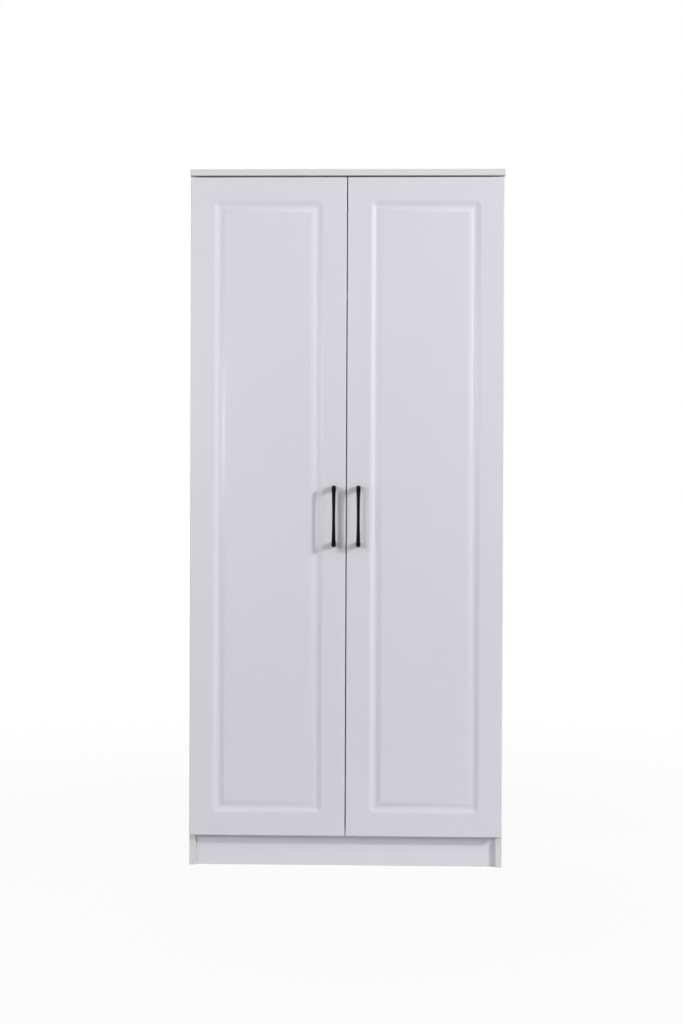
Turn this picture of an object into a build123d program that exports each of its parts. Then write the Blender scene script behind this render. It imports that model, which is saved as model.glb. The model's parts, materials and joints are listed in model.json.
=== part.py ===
"""Two-door wardrobe of white foil-wrapped fibreboard doors on a melamine chipboard carcass.

Millimetres, +Z up, the doors face -Y. The origin is on the floor, at the middle of the
width and the depth. Every function makes one piece or one group of like pieces.
"""

import os

from build123d import *

# ---- driving dimensions ----
WIDTH = 900.0  # outer faces of the sides
HEIGHT = 2000.0  # floor to top face
DEPTH = 550.0  # handle fronts to the nail heads on the back
BOARD = 18.0  # melamine chipboard and door board
BACK = 3.0  # hardboard back
NAIL_HEAD = 0.6
DOOR_GAP = 2.0  # between a closed door and the carcass
DOOR_REVEAL = 2.0  # from a door's edge to the outer face of the side
CENTRE_GAP = 3.0  # between the doors
DOOR_BOTTOM = 91.0
TOP_GAP = 5.0  # between the doors and the top board
PLINTH_HEIGHT = 96.0
PLINTH_SETBACK = 10.0
PLINTH_THICK = 16.0
HAT_SHELF_TOP = 1650.0
LOW_SHELF_TOP = 368.0
LOW_SHELF_SETBACK = 20.0

# ---- doors: one routed groove makes the raised panel ----
GROOVE_INSET = 66.0  # door edge to the groove's outer edge
GROOVE_WIDTH = 35.0
GROOVE_FLAT = 7.4
GROOVE_DEPTH = 4.6
GROOVE_CROWN = 0.35  # how far each flank bulges above its chord
DOOR_EDGE_ROUND = 2.0

# ---- handles ----
HANDLE_X = 35.0
HANDLE_Z = 1008.5
HANDLE_LENGTH = 176.0
HANDLE_HOLES = 160.0
HANDLE_OUT = 30.0  # projection at the middle of the bow
HANDLE_OUT_END = 28.5
HANDLE_WIDE = 13.0
HANDLE_WAIST = 8.6
HANDLE_LEG = 15.0
HANDLE_BAR = 5.0
HANDLE_TIP = 5.8  # rounding of each end, seen from the front
HANDLE_SOFT = 1.2  # rounding of the long edges

# ---- hinges, in a plan frame of their own: x from the door's outer edge inwards,
# y from the door's back face into the carcass ----
HINGE_HEIGHTS = (191.0, 753.0, 1315.0, 1877.0)
ARM_REAR_PIN = (29.0, 20.4)
ARM_FRONT_PIN = (35.1, -4.0)
CUP_OUTER_PIN = (8.7, -3.9)
CUP_INNER_PIN = (13.5, -7.5)
OUTER_LINK_BEND = (21.5, -6.9)
INNER_LINK_BEND = (27.3, -7.9)
PIN_RADIUS = 1.2
PIN_PLAY = 0.05
OPEN_PIVOT_PLAY = 1.75  # room round the front pin, where the linkage is left open
LINK_HALF_WIDTH = 1.2
INNER_LINK_HALF = 3.6  # half heights of the nested parts, centre outwards
OUTER_LINK_LANE = (3.9, 5.1)
ARM_LANE = (5.4, 6.6)
CHEEK_LANE = (5.4, 7.4)
CUP_CENTRE = 22.5
CUP_RADIUS = 17.5
CUP_DEPTH = 11.3
CUP_SHEET = 0.7
FLANGE_THICK = 1.3
CUP_SCREW = (32.0, 22.5)
PLATE_Y = 39.0
PLATE_SCREW_Z = 16.0

# ---- fittings ----
CAM_RADIUS = 7.5
CAM_DEPTH = 12.5
CAM_INSET = 34.0  # board end to the cam's centre
BOLT_RADIUS = 3.0
BOLT_BITE = 11.0
DOWEL_RADIUS = 4.0
DOWEL_LENGTH = 34.0
RAIL_HEIGHT = 30.0
RAIL_WIDTH = 15.0
RAIL_WALL = 1.0
RAIL_Z = 1572.0
PIN_HOLE_RADIUS = 2.5
PIN_HOLE_DEPTH = 10.0
PIN_HOLE_PITCH = 32.0
WALL_HOLE_RADIUS = 3.25
BUMPER_RADIUS = 4.25
BUMPER_THICK = 1.8

# ---- planes worked out from the above ----
SIDE_OUT = WIDTH / 2
SIDE_IN = SIDE_OUT - BOARD
FRONT = -DEPTH / 2
DOOR_FRONT = FRONT + HANDLE_OUT
DOOR_BACK = DOOR_FRONT + BOARD
CARCASS_FRONT = DOOR_BACK + DOOR_GAP
BACK_OUT = DEPTH / 2 - NAIL_HEAD
BACK_IN = BACK_OUT - BACK
TOP_UNDER = HEIGHT - BOARD
DOOR_TOP = TOP_UNDER - TOP_GAP
DOOR_EDGE = SIDE_OUT - DOOR_REVEAL
BOTTOM_TOP = PLINTH_HEIGHT + BOARD
HAT_SHELF_UNDER = HAT_SHELF_TOP - BOARD
LOW_SHELF_UNDER = LOW_SHELF_TOP - BOARD
MIDDLE_Y = (CARCASS_FRONT + BACK_IN) / 2
FITTING_YS = (CARCASS_FRONT + 60.0, BACK_IN - 60.0)
DOWEL_YS = (CARCASS_FRONT + 92.0, BACK_IN - 92.0)


# ---- shapes that several pieces share ----
def block(x, y, z):
    """Solid box between a low and a high value on each axis."""
    middle = Pos((x[0] + x[1]) / 2, (y[0] + y[1]) / 2, (z[0] + z[1]) / 2)
    return middle * Box(x[1] - x[0], y[1] - y[0], z[1] - z[0])


def rod(axis, radius, low, high, at):
    """Round bar along an axis from low to high; at holds its other two coordinates."""
    middle = (low + high) / 2
    bar = Cylinder(radius, high - low)
    if axis == "X":
        return Pos(middle, at[0], at[1]) * Rot(0, 90, 0) * bar
    if axis == "Y":
        return Pos(at[0], middle, at[1]) * Rot(90, 0, 0) * bar
    return Pos(at[0], at[1], middle) * bar


def turned(points):
    """Solid of revolution about Z, from its radius and height at each corner."""
    outline = Polyline(*[(radius, 0, height) for radius, height in points], close=True)
    return revolve(make_face(outline), Axis.Z)


def place(solid, at, outward):
    """Moves a solid made at the origin, with its head up +Z, so the head faces outward."""
    return Plane(origin=at, z_dir=outward).location * solid


def wood_screw(radius, length, head_radius, head_height):
    """Countersunk screw with a cross recess: its flat head is at the origin, facing +Z."""
    tip = 2 * radius
    body = turned(
        [
            (0, 0),
            (head_radius, 0),
            (radius, -head_height),
            (radius, tip - length),
            (0.3, -length),
            (0, -length),
        ]
    )
    recess = Box(head_radius, 0.9, 2.4) + Box(0.9, head_radius, 2.4)
    return body - recess


def round_head_screw(radius, length, head_radius, head_height):
    """Machine screw: the underside of its low round head is at the origin, facing +Z."""
    head = Pos(0, 0, head_height / 2) * Cylinder(head_radius, head_height)
    head = fillet(head.edges().group_by(Axis.Z)[-1], head_height * 0.45)
    shank = Pos(0, 0, -length / 2) * Cylinder(radius, length)
    recess = Box(head_radius * 1.1, 1.0, 2.4) + Box(1.0, head_radius * 1.1, 2.4)
    return head + shank - Pos(0, 0, head_height) * recess


def strip(points, half_width, low, high):
    """Flat bar with round ends along plan points, from low to high in Z."""
    outline = Sketch()
    for start, end in zip(points, points[1:]):
        run = Vector(*end) - Vector(*start)
        middle = (Vector(*start) + Vector(*end)) / 2
        turn = Axis.X.direction.get_signed_angle(run, Vector(0, 0, 1))
        outline += Pos(middle.X, middle.Y) * Rot(0, 0, turn) * SlotCenterToCenter(run.length, 2 * half_width)
    return Pos(0, 0, low) * extrude(outline, high - low, dir=(0, 0, 1))


def both_lanes(make, lane):
    """The same flat shape in a lane above the hinge's mid plane and in its mirror below."""
    return make(lane[0], lane[1]) + make(-lane[1], -lane[0])


def overlapping(board, solid):
    """True where two bounding boxes meet, so that a cut is worth making."""
    a = board.bounding_box()
    b = solid.bounding_box()
    return (
        a.min.X < b.max.X
        and b.min.X < a.max.X
        and a.min.Y < b.max.Y
        and b.min.Y < a.max.Y
        and a.min.Z < b.max.Z
        and b.min.Z < a.max.Z
    )


def fitted(board, *groups):
    """Cuts in a board the exact seats of the fittings that reach into it.

    The plugs that screw and cam recesses would leave standing are dropped.
    """
    seats = [solid for group in groups for solid in group if overlapping(board, solid)]
    for solid in seats:
        board = board - solid
    return max(board.solids(), key=lambda solid: solid.volume)


def mirrored(solids):
    """The right-hand pieces, made from the left-hand ones."""
    return [mirror(solid, Plane.YZ) for solid in solids]


def at_hinges(solid):
    """A left-hand hinge piece at each of the four hinge heights."""
    return [Pos(-DOOR_EDGE, DOOR_BACK, height) * solid for height in HINGE_HEIGHTS]


# ---- carcass boards ----
def left_side():
    return block((-SIDE_OUT, -SIDE_IN), (CARCASS_FRONT, BACK_IN), (0, TOP_UNDER))


def top_panel():
    return block((-SIDE_OUT, SIDE_OUT), (DOOR_FRONT, BACK_IN), (TOP_UNDER, HEIGHT))


def bottom_panel():
    return block((-SIDE_IN, SIDE_IN), (CARCASS_FRONT, BACK_IN), (PLINTH_HEIGHT, BOTTOM_TOP))


def hat_shelf():
    return block((-SIDE_IN, SIDE_IN), (CARCASS_FRONT, BACK_IN), (HAT_SHELF_UNDER, HAT_SHELF_TOP))


def low_shelf():
    half = SIDE_IN - 1.5
    deep = (CARCASS_FRONT + LOW_SHELF_SETBACK, BACK_IN - 3.0)
    return block((-half, half), deep, (LOW_SHELF_UNDER, LOW_SHELF_TOP))


def front_plinth():
    face = CARCASS_FRONT + PLINTH_SETBACK
    return block((-SIDE_IN, SIDE_IN), (face, face + PLINTH_THICK), (0, PLINTH_HEIGHT))


def rear_plinth():
    face = BACK_IN - 5.0 - PLINTH_THICK
    return block((-SIDE_IN, SIDE_IN), (face, face + PLINTH_THICK), (0, PLINTH_HEIGHT))


# ---- back: two hardboard halves pushed into a plastic joining strip, nailed on ----
STRIP_WEB = 1.2
STRIP_FLANGE = 12.0
BACK_EDGE = 3.0  # the hardboard stays this far inside the carcass outline


def back_half():
    outer = -SIDE_OUT + BACK_EDGE
    height = (PLINTH_HEIGHT + BACK_EDGE, HEIGHT - BACK_EDGE)
    return block((outer, -STRIP_WEB / 2), (BACK_IN, BACK_OUT), height)


def joining_strip():
    height = (PLINTH_HEIGHT + BACK_EDGE, HEIGHT - BACK_EDGE)
    web = block((-STRIP_WEB / 2, STRIP_WEB / 2), (BACK_IN, BACK_OUT), height)
    outside = block((-STRIP_FLANGE, STRIP_FLANGE), (BACK_OUT, BACK_OUT + NAIL_HEAD), height)
    profile = web + outside
    for low, high in ((BOTTOM_TOP, HAT_SHELF_UNDER), (HAT_SHELF_TOP, TOP_UNDER)):
        profile += block((-STRIP_FLANGE, STRIP_FLANGE), (BACK_IN - 0.8, BACK_IN), (low + 1, high - 1))
    return profile


NAIL_LENGTH = 20.0
NAIL_SPACING = 150.0


def nail(x, z):
    """Panel nail driven forwards, with a flat head on the outside of the back."""
    shank = rod("Y", 0.7, BACK_OUT - NAIL_LENGTH, BACK_OUT, (x, z))
    return shank + rod("Y", 1.6, BACK_OUT, BACK_OUT + NAIL_HEAD, (x, z))


def back_nails():
    """Nails into the side, top, bottom and hat-shelf edges, at an even spacing."""
    nails = []
    edge = SIDE_OUT - BOARD / 2
    rows = int((TOP_UNDER - BOTTOM_TOP) // NAIL_SPACING)
    for row in range(rows + 1):
        z = BOTTOM_TOP + 20 + row * NAIL_SPACING
        nails += [nail(-edge, z), nail(edge, z)]
    for z in (PLINTH_HEIGHT + BOARD / 2, HAT_SHELF_TOP - BOARD / 2, HEIGHT - BOARD / 2):
        for side in (-1, 1):
            nails += [nail(side * (40 + step * NAIL_SPACING), z) for step in range(3)]
    return nails


# ---- cam locks, their bolts and the dowels ----
def cam_joint(end, inward, y, z, cam_face, cam_axis):
    """Cam and bolt that pull a horizontal board's end against a side.

    end is the board end's x, inward the direction of its middle, cam_face the height of
    the face that the cam is let into, and cam_axis +1 or -1 for a cam seen from above or below.
    """
    centre = end + inward * CAM_INSET
    low, high = sorted((cam_face, cam_face - cam_axis * CAM_DEPTH))
    bolt = rod("X", BOLT_RADIUS, *sorted((end - inward * BOLT_BITE, centre)), (y, z))
    cam = rod("Z", CAM_RADIUS, low, high, (centre, y)) - bolt
    slot = Box(5.5, 1.2, 2.4) + Box(1.2, 5.5, 2.4)
    return cam - Pos(centre, y, cam_face) * slot, bolt


def side_to_top_joint(y):
    """Cam in the side's inner face, and its upright bolt screwed into the top board."""
    centre = TOP_UNDER - CAM_INSET
    x = -SIDE_OUT + BOARD / 2
    bolt = rod("Z", BOLT_RADIUS, centre, TOP_UNDER + BOLT_BITE, (x, y))
    cam = rod("X", CAM_RADIUS, -SIDE_IN - CAM_DEPTH, -SIDE_IN, (y, centre)) - bolt
    slot = Box(2.4, 5.5, 1.2) + Box(2.4, 1.2, 5.5)
    return cam - Pos(-SIDE_IN, y, centre) * slot, bolt


def left_fittings():
    """Cams and bolts of the left-hand corners."""
    cams = []
    bolts = []
    boards = ((PLINTH_HEIGHT, -1), (HAT_SHELF_UNDER, -1))
    for face, axis in boards:
        for y in FITTING_YS:
            cam, bolt = cam_joint(-SIDE_IN, 1, y, face + BOARD / 2, face, axis)
            cams.append(cam)
            bolts.append(bolt)
    for y in FITTING_YS:
        cam, bolt = side_to_top_joint(y)
        cams.append(cam)
        bolts.append(bolt)
    return cams, bolts


def left_dowels():
    """Beech dowels beside the cams, and two in each end of the plinths."""
    half = DOWEL_LENGTH / 2
    seat = -SIDE_IN + 5.0
    dowels = []
    for z in (PLINTH_HEIGHT + BOARD / 2, HAT_SHELF_UNDER + BOARD / 2):
        dowels += [rod("X", DOWEL_RADIUS, seat - half, seat + half, (y, z)) for y in DOWEL_YS]
    x = -SIDE_OUT + BOARD / 2
    dowels += [rod("Z", DOWEL_RADIUS, TOP_UNDER - 22, TOP_UNDER + 12, (x, y)) for y in DOWEL_YS]
    front = CARCASS_FRONT + PLINTH_SETBACK + PLINTH_THICK / 2
    rear = BACK_IN - 5.0 - PLINTH_THICK / 2
    for y in (front, rear):
        dowels += [rod("X", DOWEL_RADIUS, seat - half, seat + half, (y, z)) for z in (22.0, 74.0)]
    return dowels


# ---- hanging rail ----
def rail_section(grow):
    """Upright oval in the plane across the rail, grown outwards by a clearance."""
    oval = SlotOverall(RAIL_HEIGHT + 2 * grow, RAIL_WIDTH + 2 * grow)
    return Plane(origin=(0, MIDDLE_Y, RAIL_Z), x_dir=(0, 0, 1), z_dir=(1, 0, 0)).location * oval


SOCKET_PLATE = 3.0
SOCKET_COLLAR = 14.0
SOCKET_WALL = 2.2
SOCKET_SCREW_Z = 25.0


def hanging_rail():
    end = SIDE_IN - SOCKET_PLATE - 0.5
    tube = rail_section(0) - rail_section(-RAIL_WALL)
    return Pos(-end, 0, 0) * extrude(tube, 2 * end, dir=(1, 0, 0))


def rail_socket():
    """Left-hand end socket: an oval plate with a collar round the rail's end."""
    oval = SlotOverall(66.0, 24.0)
    plane = Plane(origin=(-SIDE_IN, MIDDLE_Y, RAIL_Z), x_dir=(0, 0, 1), z_dir=(1, 0, 0))
    plate = extrude(plane.location * oval, SOCKET_PLATE, dir=(1, 0, 0))
    collar = rail_section(SOCKET_WALL + 0.2) - rail_section(0.2)
    return plate + Pos(-SIDE_IN, 0, 0) * extrude(collar, SOCKET_COLLAR, dir=(1, 0, 0))


def rail_socket_screws():
    screw = wood_screw(1.75, 15.0, 3.5, 2.2)
    heights = (RAIL_Z - SOCKET_SCREW_Z, RAIL_Z + SOCKET_SCREW_Z)
    return [place(screw, (-SIDE_IN + SOCKET_PLATE, MIDDLE_Y, z), (1, 0, 0)) for z in heights]


# ---- low shelf's pins and their holes ----
PIN_YS = (CARCASS_FRONT + 50.0, BACK_IN - 45.0)


def shelf_pin(y):
    """Left-hand support: a pin in the side, and a flat nose under the shelf."""
    z = LOW_SHELF_UNDER - 4.5
    pin = rod("X", PIN_HOLE_RADIUS - 0.05, -SIDE_IN - 8.0, -SIDE_IN, (y, z))
    collar = rod("X", 4.2, -SIDE_IN, -SIDE_IN + 1.4, (y, z))
    nose = block((-SIDE_IN, -SIDE_IN + 9.0), (y - 4.2, y + 4.2), (z + 1.5, LOW_SHELF_UNDER))
    return pin + collar + nose


def pin_holes(y):
    """Column of spare holes in the side, for moving the shelf up or down."""
    middle = LOW_SHELF_UNDER - 4.5
    heights = [middle + step * PIN_HOLE_PITCH for step in range(-3, 4)]
    depth = (-SIDE_IN - PIN_HOLE_DEPTH, -SIDE_IN + 1.0)
    return [rod("X", PIN_HOLE_RADIUS, *depth, (y, z)) for z in heights]


# ---- wall fixings ----
BRACKET_X = 330.0
BRACKET_LEG = 38.0
BRACKET_HALF = 15.0
BRACKET_SHEET = 2.0


def wall_bracket():
    """Left-hand steel angle under the top board, with a hole for the wall screw."""
    across = (-BRACKET_X - BRACKET_HALF, -BRACKET_X + BRACKET_HALF)
    under = block(across, (BACK_IN - BRACKET_LEG, BACK_IN), (TOP_UNDER - BRACKET_SHEET, TOP_UNDER))
    upright = block(across, (BACK_IN - BRACKET_SHEET, BACK_IN), (TOP_UNDER - BRACKET_LEG, TOP_UNDER))
    return under + upright


def wall_hole():
    """Straight way for the wall screw through the angle and the hardboard."""
    z = TOP_UNDER - BRACKET_LEG / 2 - 1.0
    return rod("Y", WALL_HOLE_RADIUS, BACK_IN - 5.0, BACK_OUT + 5.0, (-BRACKET_X, z))


def wall_bracket_screws():
    screw = wood_screw(1.75, 14.0, 3.4, 1.9)
    y = BACK_IN - BRACKET_LEG / 2 - 2.0
    height = TOP_UNDER - BRACKET_SHEET
    return [place(screw, (-BRACKET_X + step, y, height), (0, 0, -1)) for step in (-8.0, 8.0)]


def door_bumpers():
    """Soft buttons on the front edges of two boards, one behind each door."""
    heights = (PLINTH_HEIGHT + BOARD / 2 + 2.0, HAT_SHELF_UNDER + BOARD / 2)
    ends = (CARCASS_FRONT - BUMPER_THICK, CARCASS_FRONT)
    bumpers = []
    for z in heights:
        for x in (-HANDLE_X, HANDLE_X):
            button = rod("Y", BUMPER_RADIUS, *ends, (x, z))
            bumpers.append(fillet(button.edges().group_by(Axis.Y)[0], 1.0))
    return bumpers


# ---- doors ----
def groove_half_outline():
    """Half of the router bit's outline: floor, bulging flank, and clear of the face."""
    radius = GROOVE_WIDTH / 2
    flat = GROOVE_FLAT / 2
    rise = Vector(radius - flat, GROOVE_DEPTH)
    middle = Vector((radius + flat) / 2, -GROOVE_DEPTH / 2)
    middle += Vector(-rise.Y, rise.X).normalized() * GROOVE_CROWN
    return [
        Line((0, -GROOVE_DEPTH), (flat, -GROOVE_DEPTH)),
        ThreePointArc((flat, -GROOVE_DEPTH), (middle.X, middle.Y), (radius, 0)),
        Line((radius, 0), (radius, 1)),
        Line((radius, 1), (0, 1)),
        Line((0, 1), (0, -GROOVE_DEPTH)),
    ]


def groove_tool(low_x, high_x, low_z, high_z):
    """What the router bit sweeps: four straight runs, and its own round shape at each corner."""
    half = make_face(groove_half_outline())
    full = half + mirror(half, Plane.YZ)
    bit = revolve(Rot(90, 0, 0) * half, Axis.Z)
    run_x = high_x - low_x
    run_z = high_z - low_z
    pieces = []
    for x in (low_x, high_x):
        down = Plane(origin=(x, DOOR_FRONT, high_z), x_dir=(1, 0, 0), z_dir=(0, 0, -1))
        pieces.append(extrude(down.location * full, run_z, dir=(0, 0, -1)))
        for z in (low_z, high_z):
            pieces.append(place(bit, (x, DOOR_FRONT, z), (0, -1, 0)))
    for z in (low_z, high_z):
        along = Plane(origin=(low_x, DOOR_FRONT, z), x_dir=(0, 0, 1), z_dir=(1, 0, 0))
        pieces.append(extrude(along.location * full, run_x, dir=(1, 0, 0)))
    return pieces


def left_door():
    outer = -DOOR_EDGE
    inner = -CENTRE_GAP / 2
    slab = block((outer, inner), (DOOR_FRONT, DOOR_BACK), (DOOR_BOTTOM, DOOR_TOP))
    slab = fillet(slab.edges().group_by(Axis.Y)[0], DOOR_EDGE_ROUND)
    inset = GROOVE_INSET + GROOVE_WIDTH / 2
    for piece in groove_tool(outer + inset, inner - inset, DOOR_BOTTOM + inset, DOOR_TOP - inset):
        slab = slab - piece
    return slab


def handle():
    """Left-hand bow handle: a bowed bar on two thick legs, narrow at the waist."""
    end = HANDLE_LENGTH / 2
    leg = end - HANDLE_LEG
    inside_end = HANDLE_OUT_END - HANDLE_BAR
    inside = HANDLE_OUT - HANDLE_BAR
    side = make_face(
        [
            Line((0, end), (HANDLE_OUT_END, end)),
            ThreePointArc((HANDLE_OUT_END, end), (HANDLE_OUT, 0), (HANDLE_OUT_END, -end)),
            Line((HANDLE_OUT_END, -end), (0, -end)),
            Line((0, -end), (0, -leg)),
            Line((0, -leg), (inside_end, -leg)),
            ThreePointArc((inside_end, -leg), (inside, 0), (inside_end, leg)),
            Line((inside_end, leg), (0, leg)),
            Line((0, leg), (0, end)),
        ]
    )
    outer_corners = [v for v in side.vertices() if v.X > inside + 1 and abs(v.Y) > leg]
    side = fillet(outer_corners, 7.0)
    inner_corners = [v for v in side.vertices() if abs(v.X - inside_end) < 0.1 and abs(abs(v.Y) - leg) < 0.1]
    side = fillet(inner_corners, 8.0)
    wide = HANDLE_WIDE / 2
    past = end + 0.15
    front = make_face(
        [
            ThreePointArc((wide, past), (HANDLE_WAIST / 2, 0), (wide, -past)),
            Line((wide, -past), (-wide, -past)),
            ThreePointArc((-wide, -past), (-HANDLE_WAIST / 2, 0), (-wide, past)),
            Line((-wide, past), (wide, past)),
        ]
    )
    front = fillet(front.vertices(), HANDLE_TIP)
    middle = (-HANDLE_X, DOOR_FRONT, HANDLE_Z)
    sideways = Plane(origin=middle, x_dir=(0, -1, 0), z_dir=(-1, 0, 0))
    facing = Plane(origin=middle, x_dir=(1, 0, 0), z_dir=(0, -1, 0))
    bar = extrude(sideways.location * side, HANDLE_WIDE, both=True)
    bar = bar & extrude(facing.location * front, HANDLE_OUT + 1, dir=(0, -1, 0))
    rims = []  # every edge that is off the door, except the seams that run across the bar
    for edge in bar.edges():
        run = edge.tangent_at(0.5)
        if edge.center().Y < DOOR_FRONT - 0.1 and max(abs(run.X), abs(run.Y)) < 0.95:
            rims.append(edge)
    return fillet(rims, HANDLE_SOFT)


def handle_screws():
    """Machine screws from the door's back face into the handle's legs."""
    screw = round_head_screw(2.0, BOARD + 9.0, 4.0, 2.4)
    heights = (HANDLE_Z - HANDLE_HOLES / 2, HANDLE_Z + HANDLE_HOLES / 2)
    return [place(screw, (-HANDLE_X, DOOR_BACK, z), (0, 1, 0)) for z in heights]


# ---- hinges, made in the plan frame of one left-hand hinge ----
def between(start, end, share):
    """Plan point part of the way from start to end."""
    return tuple(a + (b - a) * share for a, b in zip(start, end))


def disc(centre, radius, low, high):
    """Round plate in the hinge's plan, from low to high in Z."""
    return rod("Z", radius, low, high, centre)


ARM_BASE = 18.6  # x of the arm's lower edges, just clear of the plate's wings
ARM_NOSE = 33.0  # x of the arm's back over the pins
ARM_TAIL = 24.4  # x of the arm's back over the plate
ARM_SHEET = 1.2
ARM_END = 68.0
ADJUSTER_YS = (58.0, 46.0)


def hinge_arm():
    """Pressed channel, open towards the side, that carries both links' pins in its nose."""
    back = [(ARM_TAIL, ARM_END), (ARM_TAIL, 38.0), (ARM_NOSE, 29.0), (ARM_NOSE, 19.0)]
    cheek = make_face(Polyline((ARM_BASE, 18.0), (ARM_BASE, ARM_END), *back, close=True))
    high = ARM_LANE[1]

    def wall(low, top):
        side = Pos(0, 0, low) * extrude(cheek, top - low, dir=(0, 0, 1))
        return side + strip((ARM_REAR_PIN, ARM_FRONT_PIN), 2.8, low, top)

    half = ARM_SHEET / 2
    centre_line = [(x - half, y) for x, y in back]
    centre_line[0] = (ARM_TAIL - half, ARM_END - half)
    return both_lanes(wall, ARM_LANE) + strip(centre_line, half, -high, high)


def arm_pin(centre):
    """Rivet through both walls of the arm, with a thin head on each end."""
    end = ARM_LANE[1]
    heads = both_lanes(lambda low, high: disc(centre, 1.9, low, high), (end, end + 0.6))
    return disc(centre, PIN_RADIUS, -end - 0.3, end + 0.3) + heads


def outer_link():
    """Goose-neck link: two plates joined by a web, which clears the side's front corner."""
    path = (ARM_REAR_PIN, OUTER_LINK_BEND, CUP_OUTER_PIN)

    def plate(low, high):
        eyes = disc(ARM_REAR_PIN, 2.3, low, high) + disc(CUP_OUTER_PIN, 2.0, low, high)
        return strip(path, LINK_HALF_WIDTH, low, high) + eyes

    web_line = (between(*path[:2], 0.2), between(*path[:2], 0.6))
    lane = OUTER_LINK_LANE[0] + 0.1
    link = both_lanes(plate, OUTER_LINK_LANE) + strip(web_line, LINK_HALF_WIDTH, -lane, lane)
    for pin in (ARM_REAR_PIN, CUP_OUTER_PIN):
        link = link - disc(pin, PIN_RADIUS + PIN_PLAY, -8, 8)
    return link


def inner_link():
    """Central link: an eye on the cup's pin, and a wide open hook round the arm's front pin."""
    half = INNER_LINK_HALF
    hook = PIN_RADIUS + OPEN_PIVOT_PLAY
    link = strip((CUP_INNER_PIN, INNER_LINK_BEND, ARM_FRONT_PIN), LINK_HALF_WIDTH, -half, half)
    link += disc(CUP_INNER_PIN, 2.2, -half, half) + disc(ARM_FRONT_PIN, hook + 0.9, -half, half)
    link = link - disc(ARM_FRONT_PIN, hook, -8, 8) - disc(CUP_INNER_PIN, PIN_RADIUS + PIN_PLAY, -8, 8)
    mouth = block((ARM_FRONT_PIN[0] + 1.0, 50), (-12, 12), (-8, 8))
    return link - mouth


def cup_bore():
    return rod("Y", CUP_RADIUS, -CUP_DEPTH, 1.0, (CUP_CENTRE, 0))


def hinge_cup():
    """Deep-drawn cup with its screw flange, and two cheeks inside that hold the pins."""
    floor = CUP_SHEET - CUP_DEPTH
    bowl = rod("Y", CUP_RADIUS, -CUP_DEPTH, 0.2, (CUP_CENTRE, 0))
    plane = Plane(origin=(0, 0, 0), x_dir=(1, 0, 0), z_dir=(0, 1, 0))
    outline = Pos(CUP_CENTRE, 0) * Circle(19.0) + Pos(31.0, 0) * RectangleRounded(18.0, 60.0, 7.0)
    flange = extrude(plane.location * outline, FLANGE_THICK, dir=(0, 1, 0))
    hollow = rod("Y", CUP_RADIUS - CUP_SHEET, floor, FLANGE_THICK + 1, (CUP_CENTRE, 0))
    inside = rod("Y", CUP_RADIUS - CUP_SHEET / 2, -CUP_DEPTH + 0.2, 0, (CUP_CENTRE, 0))
    cheeks = both_lanes(lambda low, high: block((4, 15.8), (-CUP_DEPTH, -0.8), (low, high)), CHEEK_LANE)
    relief = block((2.0, 7.4), (-0.5, 2.0), (-6.4, 6.4))  # lets the outer link swing right back
    return bowl + flange - hollow + (cheeks & inside) - relief


def cup_pins():
    end = CHEEK_LANE[1]
    return [disc(pin, PIN_RADIUS, -end, end) for pin in (CUP_OUTER_PIN, CUP_INNER_PIN)]


def cup_screws():
    screw = wood_screw(1.75, 14.0, 3.5, 2.0)
    x, reach = CUP_SCREW
    return [place(screw, (x, FLANGE_THICK, z), (0, 1, 0)) for z in (-reach, reach)]


WING_THICK = 1.6


def mounting_plate():
    """Cross-shaped plate screwed to the side, with a ridge that the arm sits over."""
    side = BOARD - DOOR_REVEAL
    plane = Plane(origin=(side, PLATE_Y, 0), x_dir=(0, 1, 0), z_dir=(1, 0, 0))
    wings = extrude(plane.location * RectangleRounded(15.0, 50.0, 5.0), WING_THICK, dir=(1, 0, 0))
    ridge = block((side, ARM_TAIL - ARM_SHEET - 0.4), (25.0, 66.0), (-5.2, 5.2))
    return wings + fillet(ridge.edges().group_by(Axis.X)[-1], 1.0)


def plate_screws():
    screw = wood_screw(1.75, 13.0, 3.5, 2.0)
    x = BOARD - DOOR_REVEAL + WING_THICK
    return [place(screw, (x, PLATE_Y, z), (1, 0, 0)) for z in (-PLATE_SCREW_Z, PLATE_SCREW_Z)]


def adjusters():
    """Clamping screw and side-adjustment screw on the arm's back."""
    clamp = round_head_screw(2.4, 6.5, 3.7, 2.2)
    adjuster = round_head_screw(2.0, 3.0, 3.2, 1.8)
    screws = zip((clamp, adjuster), ADJUSTER_YS)
    return [place(screw, (ARM_TAIL, y, 0), (1, 0, 0)) for screw, y in screws]


# ---- all the nodes ----
def save(name, pieces):
    """Writes one node; like pieces that share a node stay separate solids."""
    solids = [solid for piece in pieces for solid in piece.solids()]
    export_step(solids[0] if len(solids) == 1 else Compound(solids), f"parts/{name}.step")


def save_pair(name, pieces):
    """Writes a left-hand node and its mirror image."""
    save(f"left_{name}", pieces)
    save(f"right_{name}", mirrored(pieces))


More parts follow.
